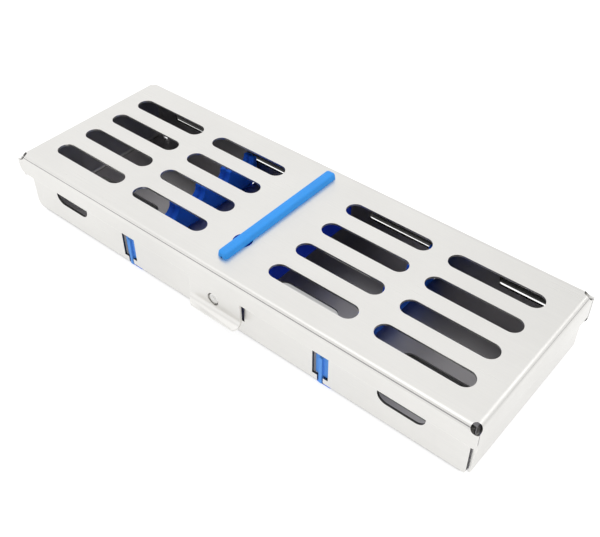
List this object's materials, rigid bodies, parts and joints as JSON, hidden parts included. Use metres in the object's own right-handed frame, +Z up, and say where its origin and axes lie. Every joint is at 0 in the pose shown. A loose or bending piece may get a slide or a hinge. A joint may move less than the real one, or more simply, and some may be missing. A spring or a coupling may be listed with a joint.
{
  "type": "dental instrument cassette",
  "caption": "Slotted sheet-steel instrument cassette with a hinged lid, a press latch, silicone instrument combs and a silicone hold-down in the lid.",
  "frame": {"origin": "middle of the cassette's length and width, at the underside of its silicone feet", "axes": "+X along the length, to the right seen from the latch side; +Y from the latch side to the hinges; +Z up"},
  "size_m": [0.2032, 0.077, 0.0285],
  "materials": {
    "steel_sheet": "satin, brushed lengthways, polished folds",
    "steel_turned": "bright",
    "blue_silicone": "soft satin silicone"
  },
  "bodies": {
    "tray": {"base_tray": "steel_sheet", "left_instrument_comb": "blue_silicone", "right_instrument_comb": "blue_silicone", "left_hinge_tray_leaf": "steel_sheet", "right_hinge_tray_leaf": "steel_sheet", "left_hinge_pin": "steel_turned", "right_hinge_pin": "steel_turned", "tray_hinge_rivets": "steel_turned"},
    "lid": {"lid_pan": "steel_sheet", "lid_hold_down": "blue_silicone", "left_hinge_lid_leaf": "steel_sheet", "right_hinge_lid_leaf": "steel_sheet", "lid_hinge_rivets": "steel_turned"},
    "latch": {"latch_tongue": "steel_sheet", "latch_stud": "steel_turned"}
  },
  "joints": [
    {"name": "lid_hinge", "type": "hinge", "parent": "tray", "child": "lid", "pos_m": [0.00095, 0.037, 0.0136], "axis": [-1, 0, 0], "range_deg": [0, 180]},
    {"name": "latch_press", "type": "hinge", "parent": "tray", "child": "latch", "pos_m": [0.0007, -0.0332, 0.0225], "axis": [1, 0, 0], "range_deg": [0, 8], "stiffness_Nm_per_rad": 0.6}
  ]
}
